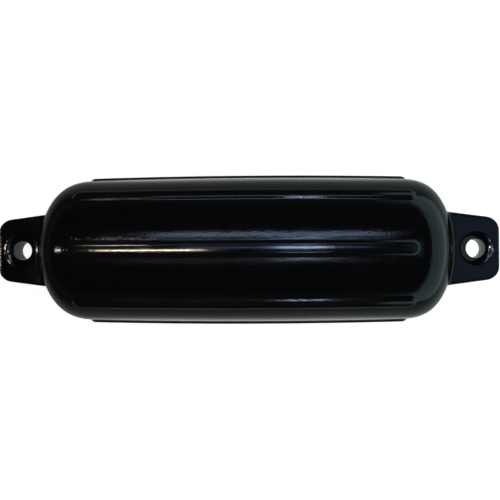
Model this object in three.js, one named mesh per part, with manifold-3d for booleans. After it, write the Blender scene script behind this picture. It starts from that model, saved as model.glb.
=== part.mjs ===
// Ribbed inflatable boat fender with an eye at each end, moulded in one piece of flexible vinyl, and its
// rubber needle valve. Millimetres, +Z up. X runs from eye to eye and the eye holes run along Z. The fender
// lies on its lowest rib, and the origin is under its middle, on the surface that it lies on.

import * as THREE from "three";
import { mergeVertices } from "three/addons/utils/BufferGeometryUtils.js";
import Module from "manifold-3d";

// Skin: a long barrel, swollen a little by the air inside, closed by two full domes
const ribbedDiameter = 165;
const barrelLength = 324;
const barrelSwell = 1.9;
const domeLength = 61;
const domeFullness = 3.2;
const domeSquareness = 2.1;
const wallThickness = 3.5;

// Ribs: low pads with sloping sides and half-round ends that run the length of the barrel
const ribCount = 8;
const ribLength = 354;
const ribWidth = 16.6;
const ribTopWidth = 12.2;
const ribHeight = 2.8;
const ribCrown = 0.8;
const ribRootDepth = 1.5;
const ribEndTurn = THREE.MathUtils.degToRad(86);

// Eyes: solid tapered lugs that sweep out into the domes
const eyeReach = 51;
const eyeTipWidth = 65.5;
const eyeRootWidth = 79;
const eyeThickness = 32;
const eyeCornerRadius = 13;
const eyeEdgeRadius = 3;
const eyeFaceSweep = 6;
const eyeSideSweep = 4;
const eyeRootDepth = 30;

// Eye holes: a straight throat between two dished mouths
const holeInset = 25;
const holeDiameter = 21;
const dishDiameter = 38;
const dishDepth = 3.5;
const throatEdgeRadius = 1.5;

// Flat spot: how far the lowest rib gives where the fender lies on it
const flatSpotDepth = 1.1;

// Valve: a rubber plug pulled through a boss in the wall until its barb snaps in behind the boss
const valveFromMiddle = 140;
const bossDiameter = 20;
const bossDepth = 7;
const plugHeadDiameter = 12;
const plugHeadThickness = 2;
const plugHeadRecess = 0.5;
const plugStemDiameter = 7;
const plugBarbDiameter = 10.4;
const plugBarbLength = 4;
const plugBarbLand = 1;
const needleFunnelDiameter = 3.6;
const needleFunnelDepth = 1.2;
const needleHoleDiameter = 1.8;
const needleHoleDepth = 6;
const plugClearance = 0.3;

// How finely the curved surfaces are cut
const skinSegments = 48;
const barrelSteps = 8;
const domeSteps = 9;
const chamberSegments = 32;
const chamberSteps = 6;
const crownFacets = 4;
const ribSteps = 8;
const roundSteps = 5;
const reachSteps = 5;
const edgeFacets = 3;
const faceFacets = 6;
const sideFacets = 2;
const holeSegments = 32;
const plugSegments = 20;
const weldDistance = 1e-4;
const cutterMargin = 5;

// What follows from the sizes
const barrelHalf = barrelLength / 2;
const domeTip = barrelHalf + domeLength;
const eyeTip = domeTip + eyeReach;
const ribRadius = ribbedDiameter / 2;
const middleRadius = ribRadius - ribHeight;
const holeCentre = eyeTip - holeInset;
const restHeight = ribRadius - flatSpotDepth;
const ribPitch = (2 * Math.PI) / ribCount;
const lowestAngle = Math.PI;
const valveRibGap = 1.5;
const valveAngle = lowestAngle - valveRibGap * ribPitch;

const wasm = await Module();
wasm.setup();

// A solid from closed geometry: shared corners are merged and what shrank to nothing at a pole is dropped.
function toSolid(geometry) {
  geometry.deleteAttribute("normal");
  geometry.deleteAttribute("uv");
  const merged = mergeVertices(geometry, weldDistance);
  const corners = merged.index.array;
  const triangles = [];
  for (let i = 0; i < corners.length; i += 3) {
    const [a, b, c] = corners.slice(i, i + 3);
    if (a !== b && b !== c && c !== a) triangles.push(a, b, c);
  }
  const vertProperties = merged.attributes.position.array;
  const mesh = new wasm.Mesh({ numProp: 3, vertProperties, triVerts: new Uint32Array(triangles) });
  return new wasm.Manifold(mesh);
}

// The triangles of a finished solid as geometry.
function toGeometry(solid) {
  const mesh = solid.getMesh();
  const geometry = new THREE.BufferGeometry();
  geometry.setAttribute("position", new THREE.BufferAttribute(new Float32Array(mesh.vertProperties), 3));
  geometry.setIndex(new THREE.BufferAttribute(new Uint32Array(mesh.triVerts), 1));
  geometry.computeVertexNormals();
  return geometry;
}

// Radius of the barrel at x, swollen most in the middle.
function barrelRadius(x) {
  return middleRadius - barrelSwell * (x / barrelHalf) ** 2;
}

// Radius of the outer skin at x, on the barrel and on the domes.
function skinRadius(x) {
  const along = Math.max(0, (Math.abs(x) - barrelHalf) / domeLength);
  return barrelRadius(x) * Math.max(0, 1 - along ** domeFullness) ** (1 / domeSquareness);
}

// How far from the middle a dome has narrowed to a radius, found in steps because its full radius varies.
function domeReachAt(radius) {
  let reach = domeTip;
  for (let i = 0; i < reachSteps; i++) {
    const share = Math.min(1, radius / barrelRadius(reach));
    reach = barrelHalf + domeLength * (1 - share ** domeSquareness) ** (1 / domeFullness);
  }
  return reach;
}

// The skin's outline from one dome tip to the other, as points of radius and distance along the fender.
function skinOutline(alongBarrel, alongDome) {
  const half = [];
  for (let i = 0; i <= alongBarrel / 2; i++) half.push((2 * barrelHalf * i) / alongBarrel);
  for (let i = 1; i < alongDome; i++) {
    half.push(barrelHalf + domeLength * Math.sin((Math.PI / 2) * (i / alongDome)) ** (2 / domeFullness));
  }
  const stations = [...half.slice(1).map((x) => -x).reverse(), ...half];
  const points = stations.map((x) => new THREE.Vector2(skinRadius(x), x));
  return [new THREE.Vector2(0, -domeTip), ...points, new THREE.Vector2(0, domeTip)];
}

// The same outline moved inwards by a wall, each point along its own normal and the tips along the axis.
function insetOutline(outline, wall) {
  const last = outline.length - 1;
  return outline.map((point, i) => {
    if (i === 0) return new THREE.Vector2(0, point.y + wall);
    if (i === last) return new THREE.Vector2(0, point.y - wall);
    const along = outline[i + 1].clone().sub(outline[i - 1]).normalize();
    return new THREE.Vector2(point.x - along.y * wall, point.y + along.x * wall);
  });
}

// An outline revolved about the fender's long axis.
function revolvedAlongX(outline, segments) {
  return toSolid(new THREE.LatheGeometry(outline, segments).rotateZ(-Math.PI / 2));
}

// A solid skinned over closed sections, one at each station, all with the same number of points.
function loft(count, stations, place) {
  const ring = new THREE.Shape();
  for (let i = 0; i < count; i++) {
    const turn = (2 * Math.PI * i) / count;
    if (i === 0) ring.moveTo(1, 0);
    else ring.lineTo(Math.cos(turn), Math.sin(turn));
  }
  const steps = stations.length - 1;
  const geometry = new THREE.ExtrudeGeometry(ring, { depth: steps, steps, bevelEnabled: false });
  const corner = geometry.attributes.position;
  for (let i = 0; i < corner.count; i++) {
    const turn = Math.atan2(corner.getY(i), corner.getX(i)) / (2 * Math.PI);
    const index = (Math.round(turn * count) + count) % count;
    const point = place(index, stations[Math.round(corner.getZ(i))]);
    corner.setXYZ(i, point.x, point.y, point.z);
  }
  return toSolid(geometry);
}

// Half the width of a rib at x, narrowing round its half-round ends.
function ribHalfWidth(x) {
  const pastStraight = ribPastStraight(x);
  return Math.sqrt(Math.max(0, (ribWidth / 2) ** 2 - pastStraight ** 2));
}

// How far x lies past the straight part of a rib.
function ribPastStraight(x) {
  return Math.max(0, Math.abs(x) - (ribLength - ribWidth) / 2);
}

// Height of a rib over the skin at x and at a distance across it: a crowned top with sloping sides and ends.
function ribHeightAt(x, across) {
  const fromSpine = Math.hypot(ribPastStraight(x), across);
  const crowned = ribHeight - ribCrown * (fromSpine / (ribWidth / 2)) ** 2;
  const side = (ribWidth / 2 - fromSpine) / ((ribWidth - ribTopWidth) / 2);
  return crowned * Math.min(1, Math.max(0, side));
}

// Where the sections of a rib stand along the fender, closer together round its ends.
function ribStations() {
  const straight = (ribLength - ribWidth) / 2;
  const half = [];
  for (let i = 0; i <= ribSteps / 2; i++) half.push((2 * straight * i) / ribSteps);
  for (let i = 1; i <= roundSteps; i++) {
    half.push(straight + (ribWidth / 2) * Math.sin(ribEndTurn * (i / roundSteps)));
  }
  return [...half.slice(1).map((x) => -x).reverse(), ...half];
}

// The points over a rib's section, each with its share of the way across, and then its root's two corners.
function ribSection() {
  const points = [{ share: 1, inRoot: false }];
  for (let i = 0; i <= crownFacets; i++) {
    points.push({ share: (ribTopWidth / ribWidth) * (1 - (2 * i) / crownFacets), inRoot: false });
  }
  points.push({ share: -1, inRoot: false });
  return [...points, { share: -1, inRoot: true }, { share: 1, inRoot: true }];
}

// One rib, lofted along the fender over the skin at an angle from the top, with its root inside the wall.
function ribSolid(angle) {
  const section = ribSection();
  return loft(section.length, ribStations(), (index, x) => {
    const across = section[index].share * ribHalfWidth(x);
    const radius = skinRadius(x) + (section[index].inRoot ? -ribRootDepth : ribHeightAt(x, across));
    const turn = angle + across / skinRadius(x);
    return new THREE.Vector3(x, radius * Math.sin(turn), radius * Math.cos(turn));
  });
}

// How much a quarter round of this radius takes off a side, at x, where it ends at the given end.
function roundedOff(x, end, radius) {
  const into = Math.min(radius, Math.max(0, x - (end - radius)));
  return radius - Math.sqrt(radius ** 2 - into ** 2);
}

// Half the width of an eye at x: tapered, with rounded outer corners.
function eyeHalfWidth(x) {
  const share = (x - domeTip) / eyeReach;
  return THREE.MathUtils.lerp(eyeRootWidth, eyeTipWidth, share) / 2 - roundedOff(x, eyeTip, eyeCornerRadius);
}

// Half the thickness of an eye at x: level, with a rounded end.
function eyeHalfThickness(x) {
  return eyeThickness / 2 - roundedOff(x, eyeTip, eyeEdgeRadius);
}

// The points round an eye's section. Each has its share of the way out to the rounded edges, and its normal.
function eyeSection() {
  const points = [];
  for (const [y, z] of [[1, 1], [-1, 1], [-1, -1], [1, -1]]) {
    const start = Math.atan2(z, y) - Math.PI / 4;
    for (let i = 0; i <= edgeFacets; i++) {
      const turn = start + (Math.PI / 2) * (i / edgeFacets);
      points.push({ y, z, normal: new THREE.Vector2(Math.cos(turn), Math.sin(turn)) });
    }
    const alongFace = y === z;
    const next = alongFace ? faceFacets : sideFacets;
    for (let i = 1; i < next; i++) {
      const share = 1 - (2 * i) / next;
      const normal = alongFace ? new THREE.Vector2(0, z) : new THREE.Vector2(y, 0);
      points.push(alongFace ? { y: y * share, z, normal } : { y, z: z * share, normal });
    }
  }
  return points;
}

// Where the sections of an eye stand: its root, steps of the sweep out of the dome, then its tip's rounds.
function eyeStations() {
  const stations = [{ x: domeTip - eyeRootDepth, sweep: 0 }];
  for (let i = 0; i <= roundSteps; i++) stations.push({ sweep: (Math.PI / 2) * (i / roundSteps) });
  for (let i = 0; i <= roundSteps; i++) {
    const rise = Math.sin((Math.PI / 2) * (i / roundSteps));
    const x = eyeTip - eyeCornerRadius * (1 - rise);
    if (x < eyeTip - eyeEdgeRadius) stations.push({ x, sweep: Math.PI / 2 });
  }
  for (let i = 0; i <= edgeFacets; i++) {
    const rise = Math.sin((Math.PI / 2) * (i / edgeFacets));
    stations.push({ x: eyeTip - eyeEdgeRadius * (1 - rise), sweep: Math.PI / 2 });
  }
  return stations;
}

// The eye at the +X end: a tapered block with rounded edges, swept out of the dome all round its root.
function eyeSolid() {
  const section = eyeSection();
  const edge = eyeEdgeRadius;
  const across = (point, x) => point.y * (eyeHalfWidth(x) - edge) + edge * point.normal.x;
  const upwards = (point, x) => point.z * (eyeHalfThickness(x) - edge) + edge * point.normal.y;
  return loft(section.length, eyeStations(), (index, station) => {
    const point = section[index];
    const radius = eyeFaceSweep * point.normal.y ** 2 + eyeSideSweep * point.normal.x ** 2;
    const footY = across(point, domeTip) + radius * point.normal.x;
    const footZ = upwards(point, domeTip) + radius * point.normal.y;
    const x = station.x ?? domeReachAt(Math.hypot(footY, footZ)) + radius * (1 - Math.cos(station.sweep));
    const out = radius * (1 - Math.sin(station.sweep));
    const y = across(point, x) + out * point.normal.x;
    return new THREE.Vector3(x, y, upwards(point, x) + out * point.normal.y);
  });
}

// What is cut from an eye: the throat and both dished mouths, revolved about the hole's axis.
function eyeHoleCutter() {
  const face = eyeThickness / 2;
  const throat = holeDiameter / 2;
  const slope = Math.atan2(dishDepth, dishDiameter / 2 - throat);
  const mouth = [];
  const sweep = Math.PI / 2 - slope;
  const centre = new THREE.Vector2(throat + throatEdgeRadius, 0);
  centre.y = face - dishDepth - throatEdgeRadius * Math.tan(sweep / 2);
  for (let i = 0; i <= 2; i++) {
    const turn = sweep * (i / 2);
    const edge = new THREE.Vector2(-Math.cos(turn), Math.sin(turn));
    mouth.push(edge.multiplyScalar(throatEdgeRadius).add(centre));
  }
  mouth.push(new THREE.Vector2(dishDiameter / 2, face));
  mouth.push(new THREE.Vector2(dishDiameter / 2, face + cutterMargin));
  mouth.push(new THREE.Vector2(0, face + cutterMargin));
  const lower = mouth.map((point) => new THREE.Vector2(point.x, -point.y)).reverse();
  const cutter = new THREE.LatheGeometry([...lower, ...mouth], holeSegments);
  return toSolid(cutter.rotateX(Math.PI / 2).translate(holeCentre, 0, 0));
}

// The block of ground that flattens the lowest rib.
function groundCutter() {
  const depth = flatSpotDepth + cutterMargin;
  const ground = new THREE.BoxGeometry(2 * eyeTip, ribbedDiameter, depth);
  return toSolid(ground.translate(0, 0, -restHeight - depth / 2));
}

// The place of the valve on the skin, with +Y pointing straight out of it.
function valvePlace() {
  const radius = skinRadius(valveFromMiddle);
  const place = new THREE.Matrix4().makeRotationX(Math.PI / 2 - valveAngle);
  return place.setPosition(valveFromMiddle, radius * Math.sin(valveAngle), radius * Math.cos(valveAngle));
}

// Depths of the valve below the skin, from its head to its barb.
const headTop = -plugHeadRecess;
const headUnderside = headTop - plugHeadThickness;
const bossInnerFace = -wallThickness - bossDepth;
const barbShoulder = bossInnerFace - plugClearance;

// The boss that thickens the wall round the valve.
function bossSolid() {
  const height = -bossInnerFace - wallThickness / 2;
  const boss = new THREE.CylinderGeometry(bossDiameter / 2, bossDiameter / 2, height, plugSegments);
  return toSolid(boss.translate(0, bossInnerFace + height / 2, 0).applyMatrix4(valvePlace()));
}

// What is cut from the boss: the seat of the plug's head and the hole for its stem.
function valveHoleCutter() {
  const seat = plugHeadDiameter / 2 + plugClearance;
  const hole = plugStemDiameter / 2 + plugClearance;
  const outline = [
    new THREE.Vector2(0, bossInnerFace - cutterMargin),
    new THREE.Vector2(hole, bossInnerFace - cutterMargin),
    new THREE.Vector2(hole, headUnderside - plugClearance),
    new THREE.Vector2(seat, headUnderside - plugClearance),
    new THREE.Vector2(seat, cutterMargin),
    new THREE.Vector2(0, cutterMargin),
  ];
  return toSolid(new THREE.LatheGeometry(outline, plugSegments).applyMatrix4(valvePlace()));
}

// The moulded vinyl body: skin, ribs and eyes in one, hollow inside, with its holes and the valve's boss.
function fenderBody() {
  let solid = revolvedAlongX(skinOutline(barrelSteps, domeSteps), skinSegments);
  for (let i = 0; i < ribCount; i++) solid = solid.add(ribSolid(lowestAngle + i * ribPitch));
  const eye = eyeSolid().subtract(eyeHoleCutter());
  solid = solid.add(eye).add(eye.rotate([0, 0, 180]));
  solid = solid.subtract(groundCutter());
  const chamber = insetOutline(skinOutline(chamberSteps, chamberSteps), wallThickness);
  solid = solid.subtract(revolvedAlongX(chamber, chamberSegments));
  solid = solid.add(bossSolid()).subtract(valveHoleCutter());
  return toGeometry(solid);
}

// The rubber valve plug, revolved about its own axis: head, stem, barb and the blind hole for the needle.
function valvePlug() {
  const funnel = needleFunnelDiameter / 2;
  const needle = needleHoleDiameter / 2;
  const stem = plugStemDiameter / 2;
  const outline = [
    new THREE.Vector2(0, barbShoulder - plugBarbLength),
    new THREE.Vector2(stem, barbShoulder - plugBarbLength),
    new THREE.Vector2(plugBarbDiameter / 2, barbShoulder - plugBarbLand),
    new THREE.Vector2(plugBarbDiameter / 2, barbShoulder),
    new THREE.Vector2(stem, barbShoulder),
    new THREE.Vector2(stem, headUnderside),
    new THREE.Vector2(plugHeadDiameter / 2, headUnderside),
    new THREE.Vector2(plugHeadDiameter / 2, headTop),
    new THREE.Vector2(funnel, headTop),
    new THREE.Vector2(needle, headTop - needleFunnelDepth),
    new THREE.Vector2(needle, headTop - needleHoleDepth),
    new THREE.Vector2(0, headTop - needleHoleDepth),
  ];
  return new THREE.LatheGeometry(outline, plugSegments);
}

const glossVinyl = new THREE.MeshStandardMaterial({ color: 0x0c0d0f, roughness: 0.22, metalness: 0 });
const valveRubber = new THREE.MeshStandardMaterial({ color: 0x1c1d1f, roughness: 0.6, metalness: 0 });

const body = new THREE.Mesh(fenderBody(), glossVinyl);
body.name = "fender_body";

const plug = new THREE.Mesh(valvePlug(), valveRubber);
plug.name = "valve_plug";
plug.applyMatrix4(valvePlace());

const lying = new THREE.Group();
lying.position.z = restHeight;
lying.add(body, plug);

const fender = new THREE.Group();
fender.add(lying);

export default fender;
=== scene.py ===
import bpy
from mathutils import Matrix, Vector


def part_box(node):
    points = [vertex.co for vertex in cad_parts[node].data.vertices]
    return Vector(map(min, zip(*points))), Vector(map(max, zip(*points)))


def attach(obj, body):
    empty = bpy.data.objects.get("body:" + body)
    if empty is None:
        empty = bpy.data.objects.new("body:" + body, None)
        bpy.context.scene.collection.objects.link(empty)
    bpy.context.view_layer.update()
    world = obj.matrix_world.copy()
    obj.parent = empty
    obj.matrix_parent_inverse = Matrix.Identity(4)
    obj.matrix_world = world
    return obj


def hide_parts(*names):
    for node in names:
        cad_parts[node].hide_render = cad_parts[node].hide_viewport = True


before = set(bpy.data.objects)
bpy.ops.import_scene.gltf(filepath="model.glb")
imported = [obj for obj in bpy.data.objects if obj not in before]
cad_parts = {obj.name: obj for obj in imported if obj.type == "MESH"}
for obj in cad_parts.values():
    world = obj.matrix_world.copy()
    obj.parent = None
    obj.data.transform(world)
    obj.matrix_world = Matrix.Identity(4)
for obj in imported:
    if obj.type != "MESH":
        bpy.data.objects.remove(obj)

"""Looks of a ribbed inflatable boat fender: black gloss vinyl with an eye at each end and a rubber valve.

Metres, +Z up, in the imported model's frame: X runs from eye to eye and the fender lies on its lowest rib.
"""

import logging
import math
from dataclasses import dataclass
from enum import Enum

import bpy
import numpy as np
from mathutils import Matrix, Vector

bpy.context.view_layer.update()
MM = 0.001
ROOT_BODY = "root"
log = logging.getLogger("fender")


class End(Enum):
    """The two ends of the fender, by the way each points along X."""

    LEFT = -1
    RIGHT = 1


def srgb(code: str) -> tuple[float, float, float, float]:
    """Turns a colour into linear light.

    Args:
        code: the colour as six sRGB hex digits.

    Returns:
        Red, green, blue and alpha, linear.
    """
    channels = [int(code[i : i + 2], 16) / 255 for i in (0, 2, 4)]
    linear = [c / 12.92 if c <= 0.04045 else ((c + 0.055) / 1.055) ** 2.4 for c in channels]
    return (*linear, 1.0)


def add_node(
    tree: bpy.types.NodeTree,
    kind: str,
    settings: dict[str | int, object] | None = None,
    links: dict[str | int, bpy.types.NodeSocket] | None = None,
    **properties: object,
) -> bpy.types.Node:
    """Adds a shader node.

    Args:
        tree: the node tree that it goes into.
        kind: the node's type, such as ShaderNodeBump.
        settings: values for its input sockets, by the input's name or number.
        links: output sockets that feed its inputs, by the input's name or number.
        properties: the node's own properties.

    Returns:
        The new node.
    """
    node = tree.nodes.new(kind)
    for name, value in properties.items():
        setattr(node, name, value)
    for name, value in (settings or {}).items():
        node.inputs[name].default_value = value
    for name, source in (links or {}).items():
        tree.links.new(source, node.inputs[name])
    return node


def new_material(name: str) -> bpy.types.Material:
    """Makes an empty node material of that name."""
    material = bpy.data.materials.new(name)
    material.use_nodes = True
    material.node_tree.nodes.clear()
    return material


@dataclass(frozen=True)
class GlossVinyl:
    """Plasticised PVC, moulded against a polished tool: near black, wet gloss, with a fine orange peel.

    The orange peel breaks the long highlights between the ribs into small sparks. The ribs, which take the
    wear, are polished smoother, so their highlights stay sharp lines. The real grain is finer than a pixel,
    so it is drawn about twice as coarse.
    """

    axis_height: float
    rib_pitch: float
    name: str = "moulded_black_pvc"
    colour: str = "040405"
    colour_scuffed: str = "07080a"
    roughness: float = 0.07
    roughness_spread: float = 0.05
    cloud_low: float = 0.3
    cloud_high: float = 0.7
    ior: float = 1.5
    specular: float = 0.22
    peel_width: float = 2.0 * MM
    peel_height: float = 0.1 * MM
    grain_width: float = 1.1 * MM
    grain_height: float = 0.05 * MM
    rib_smoothness: float = 0.3
    rib_half_angle: float = math.radians(5.6)
    skin_start_angle: float = math.radians(6.72)
    ripple_width: float = 26 * MM
    ripple_height: float = 0.05 * MM

    def build(self) -> bpy.types.Material:
        """Builds the material.

        Returns:
            The finished material.
        """
        material = new_material(self.name)
        tree = material.node_tree
        place = add_node(tree, "ShaderNodeTexCoord").outputs["Object"]
        cloud = add_node(
            tree, "ShaderNodeTexNoise", {"Scale": 1 / self.ripple_width, "Detail": 4.0}, {"Vector": place}
        )
        gloss = add_node(
            tree,
            "ShaderNodeMapRange",
            {
                "From Min": self.cloud_low,
                "From Max": self.cloud_high,
                "To Min": self.roughness,
                "To Max": self.roughness + self.roughness_spread,
            },
            {"Value": cloud.outputs["Fac"]},
        )
        tint = add_node(
            tree,
            "ShaderNodeMix",
            {"A": srgb(self.colour), "B": srgb(self.colour_scuffed)},
            {"Factor": cloud.outputs["Fac"]},
            data_type="RGBA",
        )
        bump = self.relief(tree, place)
        shader = add_node(
            tree,
            "ShaderNodeBsdfPrincipled",
            {"IOR": self.ior, "Specular IOR Level": self.specular, "Metallic": 0.0},
            {"Base Color": tint.outputs["Result"], "Roughness": gloss.outputs["Result"], "Normal": bump},
        )
        add_node(tree, "ShaderNodeOutputMaterial", links={"Surface": shader.outputs["BSDF"]})
        return material

    def relief(self, tree: bpy.types.NodeTree, place: bpy.types.NodeSocket) -> bpy.types.NodeSocket:
        """Adds the orange peel, the finer grain and the slow ripple of the skin.

        Args:
            tree: the material's node tree.
            place: the coordinates in metres.

        Returns:
            The normal that they give.
        """
        layers = (
            (self.ripple_width, self.ripple_height, 1.0),
            (self.peel_width, self.peel_height, 1.5),
            (self.grain_width, self.grain_height, 1.0),
        )
        strength = self.between_ribs(tree, place)
        normal = None
        for width, height, detail in layers:
            settings = {"Scale": 1 / width, "Detail": detail}
            noise = add_node(tree, "ShaderNodeTexNoise", settings, {"Vector": place})
            links = {"Height": noise.outputs["Fac"], "Strength": strength}
            if normal is not None:
                links["Normal"] = normal
            normal = add_node(tree, "ShaderNodeBump", {"Distance": height}, links).outputs["Normal"]
        return normal

    def between_ribs(self, tree: bpy.types.NodeTree, place: bpy.types.NodeSocket) -> bpy.types.NodeSocket:
        """Adds a factor that is full between the ribs and low on them, where wear has polished the skin.

        Args:
            tree: the material's node tree.
            place: the coordinates in metres.

        Returns:
            The factor.
        """
        parts = add_node(tree, "ShaderNodeSeparateXYZ", links={"Vector": place}).outputs
        height = add_node(
            tree, "ShaderNodeMath", {1: self.axis_height}, {0: parts["Z"]}, operation="SUBTRACT"
        )
        angle = add_node(
            tree, "ShaderNodeMath", links={0: parts["Y"], 1: height.outputs[0]}, operation="ARCTAN2"
        )
        off_spine = add_node(
            tree, "ShaderNodeMath", {1: self.rib_pitch / 2}, {0: angle.outputs[0]}, operation="PINGPONG"
        )
        edges = {
            "From Min": self.rib_half_angle,
            "From Max": self.skin_start_angle,
            "To Min": self.rib_smoothness,
        }
        factor = add_node(tree, "ShaderNodeMapRange", edges, {"Value": off_spine.outputs[0]})
        return factor.outputs["Result"]


@dataclass(frozen=True)
class ValveRubber:
    """Moulded EPDM rubber: matt, a shade lighter than the vinyl, with a dry bloom that scatters the light."""

    name: str = "moulded_epdm"
    colour: str = "1a1b1d"
    colour_bloomed: str = "2b2c2e"
    roughness: float = 0.55
    ior: float = 1.5
    bloom_width: float = 2.5 * MM
    grain_width: float = 0.35 * MM
    grain_height: float = 0.02 * MM

    def build(self) -> bpy.types.Material:
        """Builds the material.

        Returns:
            The finished material.
        """
        material = new_material(self.name)
        tree = material.node_tree
        place = add_node(tree, "ShaderNodeTexCoord").outputs["Object"]
        bloom = add_node(
            tree, "ShaderNodeTexNoise", {"Scale": 1 / self.bloom_width, "Detail": 3.0}, {"Vector": place}
        )
        tint = add_node(
            tree,
            "ShaderNodeMix",
            {"A": srgb(self.colour), "B": srgb(self.colour_bloomed)},
            {"Factor": bloom.outputs["Fac"]},
            data_type="RGBA",
        )
        grain = add_node(tree, "ShaderNodeTexNoise", {"Scale": 1 / self.grain_width}, {"Vector": place})
        bump = add_node(
            tree, "ShaderNodeBump", {"Distance": self.grain_height}, {"Height": grain.outputs["Fac"]}
        )
        shader = add_node(
            tree,
            "ShaderNodeBsdfPrincipled",
            {"IOR": self.ior, "Roughness": self.roughness, "Metallic": 0.0},
            {"Base Color": tint.outputs["Result"], "Normal": bump.outputs["Normal"]},
        )
        add_node(tree, "ShaderNodeOutputMaterial", links={"Surface": shader.outputs["BSDF"]})
        return material


def deselect_all() -> None:
    """Leaves object mode with nothing selected."""
    if bpy.context.object and bpy.context.object.mode != "OBJECT":
        bpy.ops.object.mode_set(mode="OBJECT")
    bpy.ops.object.select_all(action="DESELECT")


def make_active(piece: bpy.types.Object) -> None:
    """Selects one object alone and makes it the active one."""
    deselect_all()
    piece.select_set(True)
    bpy.context.view_layer.objects.active = piece


def rolled_grid(name: str, rings: np.ndarray) -> bpy.types.Object:
    """Rolls a grid primitive into a closed skin whose first and last rings shrink to points.

    Args:
        name: the piece's name.
        rings: the places of the skin's points, by ring and by place round the ring.

    Returns:
        The skin, with its seam and poles welded and its faces outwards.
    """
    rows, columns = rings.shape[0], rings.shape[1]
    deselect_all()
    bpy.ops.mesh.primitive_grid_add(x_subdivisions=columns, y_subdivisions=rows - 1, size=2)
    piece = bpy.context.object
    piece.name = piece.data.name = name
    flat = np.zeros(len(piece.data.vertices) * 3, np.float32)
    piece.data.vertices.foreach_get("co", flat)
    flat = flat.reshape(-1, 3)
    column = np.rint((flat[:, 0] + 1) / 2 * columns).astype(int) % columns
    row = np.rint((flat[:, 1] + 1) / 2 * (rows - 1)).astype(int)
    piece.data.vertices.foreach_set("co", rings[row, column].astype(np.float32).ravel())
    bpy.ops.object.mode_set(mode="EDIT")
    bpy.ops.mesh.select_all(action="SELECT")
    bpy.ops.mesh.remove_doubles(threshold=1e-6)
    bpy.ops.mesh.normals_make_consistent(inside=False)
    bpy.ops.object.mode_set(mode="OBJECT")
    return piece


def turned(name: str, outline: list[tuple[float, float]], segments: int, place: Matrix) -> bpy.types.Object:
    """Builds a turned solid from a disc by extruding and scaling its face along an outline.

    Args:
        name: the piece's name.
        outline: radius and height at each step, up the piece's own Z.
        segments: the number of sides.
        place: where the piece stands, put into its mesh at the end.

    Returns:
        The solid, at the origin, with its place in its mesh.
    """
    deselect_all()
    radius, height = outline[0]
    bpy.ops.mesh.primitive_circle_add(
        vertices=segments, radius=radius, fill_type="NGON", location=(0, 0, height)
    )
    piece = bpy.context.object
    piece.name = piece.data.name = name
    bpy.ops.object.transform_apply(location=True, rotation=True, scale=True)
    bpy.ops.object.mode_set(mode="EDIT")
    bpy.ops.mesh.select_all(action="SELECT")
    for next_radius, next_height in outline[1:]:
        rise = (0, 0, next_height - height)
        bpy.ops.mesh.extrude_region_move(TRANSFORM_OT_translate={"value": rise})
        grow = next_radius / radius
        bpy.ops.transform.resize(value=(grow, grow, 1), center_override=(0, 0, next_height))
        radius, height = next_radius, next_height
    bpy.ops.mesh.select_all(action="SELECT")
    bpy.ops.mesh.normals_make_consistent(inside=False)
    bpy.ops.object.mode_set(mode="OBJECT")
    piece.data.transform(place)
    return piece


def cut(piece: bpy.types.Object, cutter: bpy.types.Object) -> None:
    """Cuts one solid from another and removes the cutter.

    Args:
        piece: the solid that is cut.
        cutter: the solid that cuts it.
    """
    modifier = piece.modifiers.new("cut", "BOOLEAN")
    modifier.operation = "DIFFERENCE"
    modifier.solver = "EXACT"
    modifier.object = cutter
    make_active(piece)
    bpy.ops.object.modifier_apply(modifier=modifier.name)
    bpy.data.objects.remove(cutter)


def smooth(piece: bpy.types.Object, angle: float) -> None:
    """Shades a piece smooth, apart from edges that are sharper than the angle."""
    make_active(piece)
    bpy.ops.object.shade_smooth_by_angle(angle=angle)


def finish_piece(piece: bpy.types.Object, material: bpy.types.Material, node: str) -> None:
    """Dresses a piece and stands it in for its node.

    Args:
        piece: the finished mesh.
        material: its finish.
        node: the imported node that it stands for.
    """
    piece.data.materials.clear()
    piece.data.materials.append(material)
    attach(piece, ROOT_BODY)
    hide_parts(node)
    log.info("%s stands for %s with %d faces", piece.name, node, len(piece.data.polygons))


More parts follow.
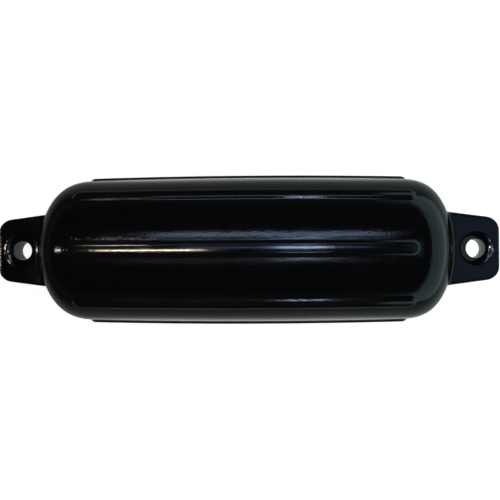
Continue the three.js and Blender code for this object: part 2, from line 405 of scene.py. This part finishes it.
@dataclass
class FenderBody:
    """The moulded vinyl body: barrel, domes, ribs and eyes as one skin, with its holes.

    The skin is a grid of rings along the fender and columns round it. rib_offsets are the millimetres from a
    rib's spine at which the columns run, close together where the rib's sides bend.
    """

    rib_diameter: float = 165 * MM
    barrel_half: float = 162 * MM
    barrel_swell: float = 1.9 * MM
    dome_length: float = 61 * MM
    dome_fullness: float = 3.2
    dome_squareness: float = 2.1
    rib_count: int = 8
    rib_length: float = 354 * MM
    rib_width: float = 16.6 * MM
    rib_top_width: float = 9.4 * MM
    rib_height: float = 2.8 * MM
    rib_crown: float = 0.35 * MM
    rib_edge_softness: float = 0.25 * MM
    eye_tip_width: float = 65.5 * MM
    eye_root_width: float = 79 * MM
    eye_thickness: float = 32 * MM
    eye_corner_radius: float = 13 * MM
    eye_edge_radius: float = 3 * MM
    eye_face_sweep: float = 6 * MM
    eye_side_sweep: float = 4 * MM
    hole_inset: float = 25 * MM
    hole_diameter: float = 21 * MM
    dish_diameter: float = 38 * MM
    dish_depth: float = 3.5 * MM
    throat_edge_radius: float = 1.5 * MM
    dish_squareness: float = 1.5
    mouth_start: float = math.radians(4)
    flat_spot_depth: float = 1.1 * MM
    crease_angle: float = math.radians(40)
    hole_sides: int = 96
    mouth_rings: int = 16
    barrel_ring_count: int = 9
    rib_end_rings: int = 29
    past_ribs: float = 2 * MM
    dome_ring_count: int = 33
    sweep_rings: int = 12
    eye_rings: int = 6
    round_rings: int = 9
    reach_rounds: int = 8
    end_face_shares: tuple[float, ...] = (0.8, 0.5, 0.0)
    rib_offsets: tuple[float, ...] = (
        *(0, 1, 2, 3, 3.7, 4.1, 4.4, 4.7, 4.9, 5.2, 5.5, 6, 6.6, 7.2, 7.6, 7.9, 8.1, 8.3, 8.5, 8.7),
        *(9, 9.5, 10.5, 12.5, 15.5, 19, 23, 27),
    )

    @property
    def eye_tip(self) -> float:
        """Distance from the middle to the tip of an eye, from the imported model."""
        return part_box("fender_body")[1].x

    @property
    def rib_pitch(self) -> float:
        """Angle from one rib to the next."""
        return 2 * math.pi / self.rib_count

    @property
    def rest_height(self) -> float:
        """Height of the fender's axis over the surface that it lies on."""
        return self.rib_diameter / 2 - self.flat_spot_depth

    @property
    def dome_tip(self) -> float:
        """Distance from the middle to the tip of a dome."""
        return self.barrel_half + self.dome_length

    def barrel_radius(self, x: np.ndarray) -> np.ndarray:
        """Radius of the barrel at x, swollen most in the middle."""
        return self.rib_diameter / 2 - self.rib_height - self.barrel_swell * (x / self.barrel_half) ** 2

    def skin_radius(self, x: np.ndarray) -> np.ndarray:
        """Radius of the skin at x, on the barrel and on the domes."""
        along = np.clip((np.abs(x) - self.barrel_half) / self.dome_length, 0, 1)
        return self.barrel_radius(x) * (1 - along**self.dome_fullness) ** (1 / self.dome_squareness)

    def dome_reach(self, radius: np.ndarray) -> np.ndarray:
        """Distance from the middle at which a dome has narrowed to a radius.

        Args:
            radius: the radii looked for.

        Returns:
            Their distances along the fender.
        """
        x = np.full_like(radius, self.dome_tip)
        for _ in range(self.reach_rounds):
            share = np.minimum(1, radius / self.barrel_radius(x))
            narrowed = (1 - share**self.dome_squareness) ** (1 / self.dome_fullness)
            x = self.barrel_half + self.dome_length * narrowed
        return x

    def column_angles(self) -> np.ndarray:
        """Angles of the skin's columns from the top, closest together at the ribs' feet.

        Returns:
            The angles, in order round the fender.
        """
        pitch = self.rib_pitch
        radius = float(self.barrel_radius(np.zeros(1))[0])
        half = np.array(self.rib_offsets) * MM / radius
        one = np.concatenate([half, [pitch / 2], pitch - half[:0:-1]])
        return np.concatenate([one + i * pitch for i in range(self.rib_count)])

    def rib_rise(self, x: np.ndarray, angles: np.ndarray) -> np.ndarray:
        """Height of the ribs over the skin: a crowned top with sloping sides, soft at its edges and foot.

        Args:
            x: distance along the fender of each point.
            angles: angle from the top of each point.

        Returns:
            The height at each point.
        """
        pitch = self.rib_pitch
        off_spine = (angles + pitch / 2) % pitch - pitch / 2
        across = off_spine * self.skin_radius(x)
        foot, edge = self.rib_width / 2, self.rib_top_width / 2
        past = np.maximum(0, np.abs(x) - (self.rib_length / 2 - foot))
        from_spine = np.hypot(past, across)
        crowned = self.rib_height - self.rib_crown * np.minimum(1, from_spine / foot) ** 2
        soft = self.rib_edge_softness
        inside_foot = np.logaddexp(0, (foot - from_spine) / soft)
        inside_edge = np.logaddexp(0, (edge - from_spine) / soft)
        return crowned * (inside_foot - inside_edge) * soft / (foot - edge)

    def barrel_rings(self) -> list[float]:
        """Where the rings of the barrel stand in its right half, closest together at the ribs' ends.

        Returns:
            Their distances from the middle, rising.
        """
        rib_end = self.rib_length / 2
        round_start = rib_end - self.rib_width / 2
        straight = np.linspace(0, round_start, self.barrel_ring_count, endpoint=False)
        rounded = np.linspace(round_start, rib_end + self.past_ribs, self.rib_end_rings)
        return [*straight, *rounded]

    def eye_section(self, columns: int) -> tuple[np.ndarray, np.ndarray]:
        """The points round an eye's section, in order from the middle of its upper face.

        Args:
            columns: the number of points.

        Returns:
            Each point's share of the way out to the rounded edges, and its normal, both across and upwards.
        """
        edge = self.eye_edge_radius
        half = np.array([self.eye_tip_width / 2 - edge, self.eye_thickness / 2 - edge])
        quarter = math.pi / 2 * edge
        # The legs run to the middle of the lower face, and the other half is the same turned half round.
        legs = [half[0], quarter, half[1], half[1], quarter, half[0]]
        starts = np.concatenate([[0], np.cumsum(legs + legs)])
        shares, normals = np.zeros((columns, 2)), np.zeros((columns, 2))
        for i, distance in enumerate(np.arange(columns) / columns * starts[-1]):
            leg = int(np.searchsorted(starts, distance, "right")) - 1
            part = (distance - starts[leg]) / (starts[leg + 1] - starts[leg])
            turn = math.pi / 2 * part
            half_turn = 1 if leg < len(legs) else -1
            shares[i], normals[i] = (
                ((part, 1), (0, 1)),
                ((1, 1), (math.sin(turn), math.cos(turn))),
                ((1, 1 - part), (1, 0)),
                ((1, -part), (1, 0)),
                ((1, -1), (math.cos(turn), -math.sin(turn))),
                ((1 - part, -1), (0, -1)),
            )[leg % len(legs)]
            shares[i] *= half_turn
            normals[i] *= half_turn
        return shares, normals

    def rounded_off(self, x: np.ndarray, radius: float) -> np.ndarray:
        """How much a quarter round at the eye's tip takes off a side, at x."""
        into = np.clip(x - (self.eye_tip - radius), 0, radius)
        return radius - np.sqrt(radius**2 - into**2)

    def eye_places(self, x: np.ndarray, shares: np.ndarray, normals: np.ndarray) -> np.ndarray:
        """Places on the eye's block across and upwards, at x.

        Args:
            x: distance along the fender of each point.
            shares: each point's share of the way out to the rounded edges.
            normals: each point's normal.

        Returns:
            The places, across and upwards.
        """
        taper = (x - self.dome_tip) / (self.eye_tip - self.dome_tip)
        width = self.eye_root_width + (self.eye_tip_width - self.eye_root_width) * taper
        half_width = width / 2 - self.rounded_off(x, self.eye_corner_radius)
        half_height = self.eye_thickness / 2 - self.rounded_off(x, self.eye_edge_radius)
        half = np.stack([half_width, half_height], 1) - self.eye_edge_radius
        return shares * half + normals * self.eye_edge_radius

    def half_rings(self) -> np.ndarray:
        """The rings of the right half of the skin, from the middle to the pole of the eye's end face.

        Returns:
            The places of the rings' points.
        """
        angles = self.column_angles()
        rings = []
        for x in self.barrel_rings():
            along = np.full_like(angles, x)
            radius = self.skin_radius(along) + self.rib_rise(along, angles)
            rings.append(self.round_ring(along, radius, angles))
        shares, normals = self.eye_section(len(angles))
        sweep = self.eye_face_sweep * normals[:, 1] ** 2 + self.eye_side_sweep * normals[:, 0] ** 2
        root = self.eye_places(np.full_like(angles, self.dome_tip), shares, normals)
        foot = root + normals * sweep[:, None]
        foot_x = self.dome_reach(np.hypot(foot[:, 0], foot[:, 1]))
        rings += self.dome_rings(angles, rings[-1][:, 0], np.arctan2(foot[:, 0], foot[:, 1]), foot_x)
        rings += self.eye_block_rings(foot_x, sweep, shares, normals)
        return np.array(rings)

    def round_ring(self, x: np.ndarray, radius: np.ndarray, angles: np.ndarray) -> np.ndarray:
        """Places at a distance along the fender, a radius and an angle from the top."""
        return np.stack([x, radius * np.sin(angles), radius * np.cos(angles)], 1)

    def dome_turn(self, x: np.ndarray) -> np.ndarray:
        """How far round the dome's curve x lies, as an angle from its rim."""
        return np.arcsin(((x - self.barrel_half) / self.dome_length) ** (self.dome_fullness / 2))

    def dome_rings(
        self, angles: np.ndarray, start: np.ndarray, foot_angle: np.ndarray, foot_x: np.ndarray
    ) -> list[np.ndarray]:
        """The rings from the end of the ribs over the dome to the foot of the eye's sweep.

        Args:
            angles: the columns' angles on the barrel.
            start: how far from the middle each column begins.
            foot_angle: the angle that each column has at the foot.
            foot_x: how far from the middle each column ends.

        Returns:
            The places of the rings' points.
        """
        swing = (foot_angle - angles + math.pi) % (2 * math.pi) - math.pi
        turn_start, turn_end = self.dome_turn(start), self.dome_turn(foot_x)
        rings = []
        for step in np.linspace(0, 1, self.dome_ring_count + 1)[1:]:
            turn = turn_start + (turn_end - turn_start) * step
            x = self.barrel_half + self.dome_length * np.sin(turn) ** (2 / self.dome_fullness)
            eased = step**2 * (3 - 2 * step)
            rings.append(self.round_ring(x, self.skin_radius(x), angles + swing * eased))
        return rings

    def eye_block_rings(
        self, foot_x: np.ndarray, sweep: np.ndarray, shares: np.ndarray, normals: np.ndarray
    ) -> list[np.ndarray]:
        """The rings up the hollow sweep, out along the eye's block and over its end face.

        Args:
            foot_x: how far from the middle the sweep of each column begins.
            sweep: the radius of each column's sweep.
            shares: each column's share of the way out to the rounded edges.
            normals: each column's normal.

        Returns:
            The places of the rings' points.
        """
        rings = []
        for turn in np.linspace(0, math.pi / 2, self.sweep_rings + 1)[1:]:
            x = foot_x + sweep * (1 - math.cos(turn))
            out = normals * (sweep * (1 - math.sin(turn)))[:, None]
            rings.append(np.column_stack([x, self.eye_places(x, shares, normals) + out]))
        swept = rings[-1][:, 0]
        corner = self.eye_tip - self.eye_corner_radius
        straight = [swept + (corner - swept) * step for step in np.linspace(0, 1, self.eye_rings + 1)[1:]]
        rounded = [np.full_like(swept, tip_x) for tip_x in self.tip_rings()]
        for x in straight + rounded:
            rings.append(np.column_stack([x, self.eye_places(x, shares, normals)]))
        for share in self.end_face_shares:
            rings.append(rings[-1] * (1, share, share))
        return rings

    def tip_rings(self) -> list[float]:
        """Where the rings stand round the eye's tip: steps of its corner round and of its edge round.

        Returns:
            Their distances from the middle, rising.
        """
        turns = np.linspace(0, math.pi / 2, self.round_rings)
        corner = self.eye_tip - self.eye_corner_radius * (1 - np.sin(turns))
        edge = self.eye_tip - self.eye_edge_radius * (1 - np.sin(turns))
        return [*corner[(corner < edge[0]) & (corner > corner[0])], *edge]

    def rings(self) -> np.ndarray:
        """All the rings of the skin from the left pole to the right one, lifted to where the fender lies.

        Returns:
            The places of the rings' points.
        """
        right = self.half_rings()
        left = right[:0:-1] * (-1, 1, 1)
        rings = np.concatenate([left, right])
        rings[:, :, 2] = np.maximum(rings[:, :, 2] + self.rest_height, 0)
        return rings

    def hole_outline(self) -> list[tuple[float, float]]:
        """Outline of an eye hole from below to above: a straight throat between two belled mouths.

        Returns:
            Radius and height over the eye's middle at each step.
        """
        face = self.eye_thickness / 2
        throat, rim = self.hole_diameter / 2, self.dish_diameter / 2
        depth = self.dish_depth + self.throat_edge_radius / 2
        upper = []
        for share in np.sin(np.linspace(math.pi / 2, self.mouth_start, self.mouth_rings)):
            rise = (1 - share**self.dish_squareness) ** (1 / self.dish_squareness)
            upper.append((rim - (rim - throat) * share, face - depth * (1 - rise)))
        # Past the rim the bell goes on straight, so that it comes out cleanly through the face.
        (inner, low), (outer, high) = upper[-2:]
        beyond = self.throat_edge_radius
        upper.append((outer + beyond, high + (high - low) / (outer - inner) * beyond))
        upper.append((outer + beyond, face + self.dish_depth))
        return [(r, -z) for r, z in reversed(upper)] + upper

    def build(self) -> bpy.types.Object:
        """Builds the body's mesh.

        Returns:
            The moulded skin with its eye holes.
        """
        piece = rolled_grid("fender_skin", self.rings())
        for end in End:
            middle = end.value * (self.eye_tip - self.hole_inset)
            place = Matrix.Translation((middle, 0, self.rest_height))
            cut(piece, turned("hole_cutter", self.hole_outline(), self.hole_sides, place))
        return piece


@dataclass
class ValvePlug:
    """The rubber needle valve in its boss, seen on the hidden side as a round head with a needle hole."""

    from_middle: float = 140 * MM
    rib_gap: float = 1.5
    head_diameter: float = 12 * MM
    head_thickness: float = 2 * MM
    head_recess: float = 0.5 * MM
    stem_diameter: float = 7 * MM
    stem_length: float = 8.8 * MM
    barb_diameter: float = 10.4 * MM
    barb_length: float = 4 * MM
    barb_land: float = 1 * MM
    funnel_diameter: float = 3.6 * MM
    funnel_depth: float = 1.2 * MM
    needle_diameter: float = 1.8 * MM
    needle_depth: float = 6 * MM
    edge_radius: float = 0.4 * MM
    clearance: float = 0.3 * MM
    crease_angle: float = math.radians(35)
    sides: int = 64

    def place(self, body: FenderBody) -> Matrix:
        """Where the valve sits in the skin, with its own Z straight out.

        Args:
            body: the body that it is in.

        Returns:
            The place and turn of the valve.
        """
        angle = math.pi - self.rib_gap * body.rib_pitch
        radius = float(body.skin_radius(np.array([self.from_middle]))[0])
        across, upwards = radius * math.sin(angle), radius * math.cos(angle)
        foot = Vector((self.from_middle, across, upwards + body.rest_height))
        return Matrix.Translation(foot) @ Matrix.Rotation(-angle, 4, "X")

    def seat(self, body: FenderBody) -> bpy.types.Object:
        """Makes the cutter of the round seat that the plug sits in.

        Args:
            body: the body that it is cut from.

        Returns:
            The cutter.
        """
        head = self.head_diameter / 2 + self.clearance
        hole = self.stem_diameter / 2 + self.clearance
        under = -self.head_recess - self.head_thickness - self.clearance
        outline = [
            (hole, under - self.stem_length - self.barb_length),
            (hole, under),
            (head, under),
            (head, -self.edge_radius),
            (head + self.edge_radius, self.edge_radius),
            (head + self.edge_radius, self.head_diameter),
        ]
        return turned("seat_cutter", outline, self.sides, self.place(body))

    def build(self, body: FenderBody) -> bpy.types.Object:
        """Builds the plug's mesh.

        Args:
            body: the body that it is in.

        Returns:
            The plug.
        """
        top = -self.head_recess
        under = top - self.head_thickness
        shoulder = under - self.stem_length + self.clearance
        head, stem, edge = self.head_diameter / 2, self.stem_diameter / 2, self.edge_radius
        outline = [
            (stem, shoulder - self.barb_length),
            (self.barb_diameter / 2, shoulder - self.barb_land),
            (self.barb_diameter / 2, shoulder),
            (stem, shoulder),
            (stem, under),
            (head - edge, under),
            (head, under + edge),
            (head, top - edge),
            (head - edge / 3, top - edge / 3),
            (head - edge, top),
            (self.funnel_diameter / 2 + edge, top),
            (self.funnel_diameter / 2, top - edge / 3),
            (self.needle_diameter / 2, top - self.funnel_depth),
            (self.needle_diameter / 2, top - self.needle_depth),
        ]
        return turned("needle_valve", outline, self.sides, self.place(body))


@dataclass(frozen=True)
class SoftLamp:
    """A soft oblong lamp over the fender or beside it.

    Its brightness is what a mirror would show, where 1 is white. Its tilt is how many degrees it stands from
    straight above, towards +Y, and its lean is how many it is turned back along X from facing down. A lamp in
    the gloss draws a highlight and lights nothing else, and the others are never seen in the gloss.
    """

    name: str
    along: float
    height: float
    tilt: float
    size: tuple[float, float]
    brightness: float
    colour: str
    lean: float = 0.0
    in_gloss: bool = True

    def build(self, axis: Vector) -> bpy.types.Object:
        """Hangs the lamp.

        Args:
            axis: the middle of the fender.

        Returns:
            The lamp.
        """
        data = bpy.data.lights.new(self.name, "AREA")
        data.shape = "RECTANGLE"
        data.size, data.size_y = self.size
        data.energy = math.pi * data.size * data.size_y * self.brightness
        data.color = srgb(self.colour)[:3]
        lamp = bpy.data.objects.new(self.name, data)
        bpy.context.scene.collection.objects.link(lamp)
        tilt = math.radians(self.tilt)
        lamp.location = axis + Vector((self.along, self.height * math.tan(tilt), self.height))
        lamp.rotation_euler = (-tilt, math.radians(self.lean), 0)
        lamp.visible_glossy = self.in_gloss
        lamp.visible_diffuse = not self.in_gloss
        log.info("%s: %.1f W", self.name, data.energy)
        return lamp


LAMPS = (
    SoftLamp("fill_panel", 0.0, 0.5, 0.0, (0.8, 0.35), 2.6, "ffffff", in_gloss=False),
    SoftLamp("end_fill", 0.75, 0.6, 0.0, (0.8, 0.8), 1.8, "e4fcfc", in_gloss=False),
    SoftLamp("warm_strip", -0.41, 1.2, -2.4, (0.33, 0.035), 170.0, "ffe8cc"),
    SoftLamp("side_strip", -0.525, 1.2, 12.3, (0.2, 0.022), 150.0, "fff6ec"),
    SoftLamp("left_strip", -1.5, 1.2, 0.0, (0.6, 0.06), 60.0, "fff0dc"),
    SoftLamp("cool_core", 0.085, 1.1, 3.0, (0.16, 0.1), 32.0, "b4d0ff"),
    SoftLamp("cool_glow", 0.0, 1.2, 3.5, (0.6, 0.1), 3.0, "a8c4ff"),
    SoftLamp("cool_panel", -0.03, 1.2, 22.0, (0.75, 0.09), 13.0, "b8d0ff"),
    SoftLamp("low_core", 0.085, 1.2, -6.5, (0.16, 0.03), 4.0, "c8dcff"),
    SoftLamp("low_strip", -0.11, 1.2, -17.3, (0.87, 0.015), 4.0, "e8eeff"),
    SoftLamp("upper_glint", 0.088, 1.15, 14.4, (0.09, 0.02), 120.0, "c8dcff"),
    SoftLamp("lower_glint", 0.085, 1.15, -12.9, (0.12, 0.015), 120.0, "c8dcff"),
    SoftLamp("far_panel", 0.62, 1.2, 0.0, (0.35, 0.5), 0.8, "a8ccff"),
    SoftLamp("right_wall", 0.55, 0.145, 0.0, (0.45, 5.0), 1.3, "c0e8ea", lean=90.0),
)


@dataclass
class Studio:
    """Pale paper in a grey room, with lamps over it.

    The paper glows white for the camera and through clear things. In the gloss its glow is painted only in a
    pool
    round the fender, a painted reflection: the gloss shows a pale ground close by, which gives the limbs
    their rim of light, and a dark one further off.
    """

    floor_size: float = 9.0
    floor_colour: str = "b8babc"
    floor_glow: float = 0.85
    # The painted glow pool: where the paper still glows in the gloss round the fender, a painted reflection
    # on the limbs.
    painted_pool_half_length: float = 0.1
    painted_pool_full: float = 0.08
    painted_pool_end: float = 0.21
    room_colour: str = "ffffff"
    room_light: float = 0.02
    horizon_light: float = 0.1
    horizon_height: float = 0.5

    def build(self, body: FenderBody) -> None:
        """Builds the floor, the lamps and the world.

        Args:
            body: the fender that the lamps hang over.
        """
        self.floor()
        self.world()
        for lamp in LAMPS:
            lamp.build(Vector((0, 0, body.rest_height)))

    def floor(self) -> bpy.types.Object:
        """Builds the pale floor that keeps the fender's shadow.

        Returns:
            The floor.
        """
        deselect_all()
        bpy.ops.mesh.primitive_plane_add(size=self.floor_size)
        floor = bpy.context.object
        floor.name = "pale_floor"
        material = new_material("white_paper")
        tree = material.node_tree
        rays = add_node(tree, "ShaderNodeLightPath").outputs
        # The gloss sees the paper's glow only in the painted pool round the fender, which paints the limbs'
        # rim of light.
        links = {0: rays["Is Glossy Ray"], 1: self.painted_glow_pool(tree)}
        in_gloss = add_node(tree, "ShaderNodeMath", links=links, operation="MULTIPLY").outputs[0]
        seen = rays["Is Camera Ray"]
        for ray in (in_gloss, rays["Is Transmission Ray"]):
            seen = add_node(tree, "ShaderNodeMath", links={0: seen, 1: ray}, operation="MAXIMUM").outputs[0]
        glow = add_node(tree, "ShaderNodeMath", {1: self.floor_glow}, {0: seen}, operation="MULTIPLY")
        paper = add_node(tree, "ShaderNodeBsdfDiffuse", {"Color": srgb(self.floor_colour)})
        light = add_node(tree, "ShaderNodeEmission", links={"Strength": glow.outputs[0]})
        both = add_node(tree, "ShaderNodeAddShader", links={0: paper.outputs[0], 1: light.outputs[0]})
        add_node(tree, "ShaderNodeOutputMaterial", links={"Surface": both.outputs[0]})
        floor.data.materials.append(material)
        return floor

    def painted_glow_pool(self, tree: bpy.types.NodeTree) -> bpy.types.NodeSocket:
        """Adds the painted glow pool: a factor that is 1 on the paper round the fender and falls to 0 where
        it ends.

        Args:
            tree: the floor's node tree.

        Returns:
            The factor.
        """
        place = add_node(tree, "ShaderNodeTexCoord").outputs["Object"]
        spine_end = (self.painted_pool_half_length, 0.0, 0.0)
        one_side = add_node(tree, "ShaderNodeVectorMath", links={0: place}, operation="ABSOLUTE").outputs[0]
        past_end = add_node(
            tree, "ShaderNodeVectorMath", {1: spine_end}, {0: one_side}, operation="SUBTRACT"
        ).outputs[0]
        from_spine = add_node(
            tree, "ShaderNodeVectorMath", {1: (0.0, 0.0, 0.0)}, {0: past_end}, operation="MAXIMUM"
        ).outputs[0]
        distance = add_node(tree, "ShaderNodeVectorMath", links={0: from_spine}, operation="LENGTH")
        factor = add_node(
            tree,
            "ShaderNodeMapRange",
            {"From Min": self.painted_pool_full, "From Max": self.painted_pool_end, "To Min": 1.0, "To Max": 0.0},
            {"Value": distance.outputs["Value"]},
            interpolation_type="SMOOTHSTEP",
        )
        return factor.outputs["Result"]

    def world(self) -> None:
        """Builds a grey room that is darker overhead than round the horizon."""
        world = bpy.data.worlds.new("grey_room")
        bpy.context.scene.world = world
        world.use_nodes = True
        tree = world.node_tree
        tree.nodes.clear()
        way = add_node(tree, "ShaderNodeTexCoord").outputs["Generated"]
        height = add_node(tree, "ShaderNodeSeparateXYZ", links={"Vector": way}).outputs["Z"]
        strength = add_node(
            tree,
            "ShaderNodeMapRange",
            {"From Max": self.horizon_height, "To Min": self.horizon_light, "To Max": self.room_light},
            {"Value": height},
            interpolation_type="SMOOTHSTEP",
        )
        room = add_node(
            tree,
            "ShaderNodeBackground",
            {"Color": srgb(self.room_colour)},
            {"Strength": strength.outputs["Result"]},
        )
        add_node(tree, "ShaderNodeOutputWorld", links={"Surface": room.outputs["Background"]})


@dataclass
class PhotoCamera:
    """The photograph's camera: straight above the fender, a little to the right of its middle."""

    distance: float = 669 * MM
    aside: float = 58 * MM
    below: float = 8.9 * MM
    lens: float = 43.2
    sensor: float = 36.0
    pan: float = math.radians(1.41)
    tilt: float = math.radians(0.71)
    roll: float = math.radians(-0.29)
    shift: float = -0.07

    def build(self, body: FenderBody) -> bpy.types.Object:
        """Places the camera.

        Args:
            body: the fender that it looks at.

        Returns:
            The camera.
        """
        data = bpy.data.cameras.new("photo_camera")
        data.lens = self.lens
        data.sensor_width = self.sensor
        data.shift_x = self.shift
        camera = bpy.data.objects.new("photo_camera", data)
        bpy.context.scene.collection.objects.link(camera)
        place = Matrix.Translation((self.aside, -self.below, body.rest_height + self.distance))
        turns = ((self.pan, "Y"), (self.tilt, "X"), (self.roll, "Z"))
        for angle, axis in turns:
            place = place @ Matrix.Rotation(angle, 4, axis)
        camera.matrix_world = place
        bpy.context.scene.camera = camera
        return camera


def main() -> None:
    """Builds the camera, the fender and the studio, and reports each piece."""
    logging.basicConfig(level=logging.INFO, format="%(name)s: %(message)s")
    bpy.context.scene.view_settings.view_transform = "Standard"
    body, valve = FenderBody(), ValvePlug()
    PhotoCamera().build(body)
    skin = body.build()
    cut(skin, valve.seat(body))
    smooth(skin, body.crease_angle)
    vinyl = GlossVinyl(axis_height=body.rest_height, rib_pitch=body.rib_pitch)
    finish_piece(skin, vinyl.build(), "fender_body")
    plug = valve.build(body)
    smooth(plug, valve.crease_angle)
    finish_piece(plug, ValveRubber().build(), "valve_plug")
    Studio().build(body)


if __name__ == "__main__":
    main()
